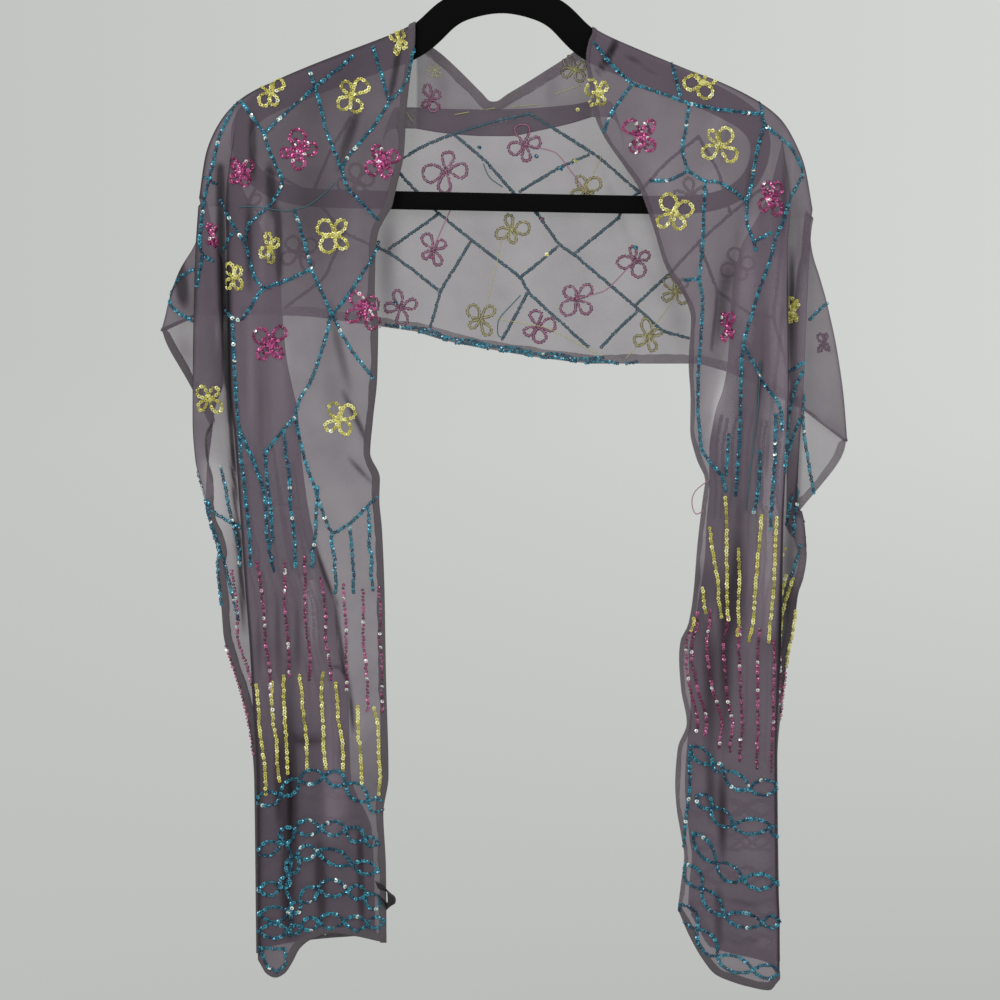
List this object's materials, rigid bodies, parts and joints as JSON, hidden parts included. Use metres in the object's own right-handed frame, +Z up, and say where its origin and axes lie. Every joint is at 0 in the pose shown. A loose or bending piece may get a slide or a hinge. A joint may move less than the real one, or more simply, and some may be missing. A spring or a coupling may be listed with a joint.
{
  "type": "silk scarf on hanger",
  "caption": "Long sheer silk chiffon scarf with sequin embroidery, draped like a stole over both arms of a flocked clothes hanger, its two pleated ends hanging in front.",
  "frame": {"origin": "inner top of the hook, the point that rests on a rail", "axes": "+X to the viewer's right along the hanger, +Y away from the viewer through the hanger to the scarf's back, +Z up"},
  "size_m": [0.5312, 0.0403, 0.8397],
  "materials": {
    "chiffon": "sheer crepe-twisted silk chiffon, dusty mauve grey, dull with a soft sheen",
    "chiffon_hem": "the same chiffon turned twice and sewn down, so darker and closer",
    "satin": "black satin ribbon, smooth",
    "flock": "black flock, short soft nap over a moulded core",
    "hook_steel": "bright plated steel wire"
  },
  "bodies": {
    "root": {"back_hem": "chiffon_hem", "back_span": "chiffon", "end_loop": "satin", "hanger_body": "flock", "hanger_hook": "hook_steel", "left_back_hem": "chiffon_hem", "left_end": "chiffon", "left_end_hem": "chiffon_hem", "left_fall": "chiffon", "left_inner_hem": "chiffon_hem", "left_shoulder": "chiffon", "left_wing": "chiffon", "left_wing_hem": "chiffon_hem", "neck_hem": "chiffon_hem", "right_back_hem": "chiffon_hem", "right_end": "chiffon", "right_end_hem": "chiffon_hem", "right_fall": "chiffon", "right_inner_hem": "chiffon_hem", "right_shoulder": "chiffon", "right_wing": "chiffon", "right_wing_hem": "chiffon_hem"}
  },
  "joints": []
}
